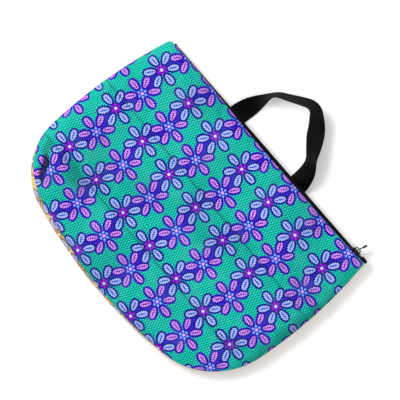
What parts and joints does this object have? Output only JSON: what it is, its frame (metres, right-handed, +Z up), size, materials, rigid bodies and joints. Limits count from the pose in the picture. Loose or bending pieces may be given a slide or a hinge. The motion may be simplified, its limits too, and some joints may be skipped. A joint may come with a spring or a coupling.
{
  "type": "laptop sleeve",
  "caption": "Soft zipped laptop sleeve with a quilted print front, lining, padding, and a webbing carry handle at the mouth.",
  "frame": {"origin": "centre of the flat underside of the back panel, which the sleeve lies on", "axes": "+Z up out of the front panel, +X along the zip towards its closed end, +Y from the bottom seam towards the zipped mouth and handle"},
  "size_m": [0.3645, 0.3299, 0.0252],
  "materials": {
    "print_front": "printed woven cotton, teal ground with blue and pink flowers",
    "print_back": "printed woven cotton, tan ground with lilac flowers",
    "wadding": "soft polyester wadding",
    "lining": "smooth black lining cloth",
    "binding": "woven seam tape",
    "webbing": "ribbed nylon webbing",
    "zip_tape": "woven zip tape",
    "end_tab": "folded zip tape end",
    "zip_coil": "nylon coil",
    "black_metal": "black enamelled zinc",
    "pull_grip": "moulded soft plastic",
    "thread_front": "polyester sewing thread",
    "thread_back": "polyester sewing thread",
    "thread_black": "polyester sewing thread"
  },
  "bodies": {
    "back": {"back_cover": "print_back", "back_padding": "wadding", "back_lining": "lining", "seam_binding_left": "binding", "seam_binding_bottom": "binding", "seam_binding_right": "binding", "quilt_stitch_back": "thread_back", "handle_tacks": "thread_black", "handle_end_left": "webbing", "handle_end_right": "webbing", "zip_tape_back": "zip_tape", "zip_coil_back": "zip_coil", "zip_top_stop_back": "black_metal", "zip_bottom_stop": "black_metal", "zip_end_tab": "end_tab"},
    "front": {"front_cover": "print_front", "front_padding": "wadding", "front_lining": "lining", "quilt_stitch_front": "thread_front", "zip_tape_front": "zip_tape", "zip_coil_front": "zip_coil", "zip_top_stop_front": "black_metal"},
    "slider": {"slider_body": "black_metal", "slider_bridge": "black_metal"},
    "pull": {"pull_tab": "black_metal", "pull_grip": "pull_grip"},
    "handle": {"handle_webbing": "webbing"}
  },
  "joints": [
    {"name": "zip_slide", "type": "slide", "parent": "back", "child": "slider", "axis": [1, 0, 0], "range_m": [-0.3075, 0]},
    {"name": "mouth_open", "type": "hinge", "parent": "back", "child": "front", "pos_m": [0, -0.1254, 0.0158], "axis": [1, 0, 0], "range_deg": [0, 10], "deforming": ["zip_tape_front", "zip_coil_front"]},
    {"name": "pull_swing", "type": "hinge", "parent": "slider", "child": "pull", "pos_m": [0.1584, 0.13015, 0.0114], "axis": [0, 0, 1], "range_deg": [-70, 100]},
    {"name": "handle_swing", "type": "hinge", "parent": "back", "child": "handle", "pos_m": [0.0033, 0.1323, 0.0016], "axis": [1, 0, 0], "range_deg": [0, 70]}
  ],
  "couplings": [
    {"joint": "mouth_open", "follows": "zip_slide", "rad_per_m": -0.5675}
  ]
}
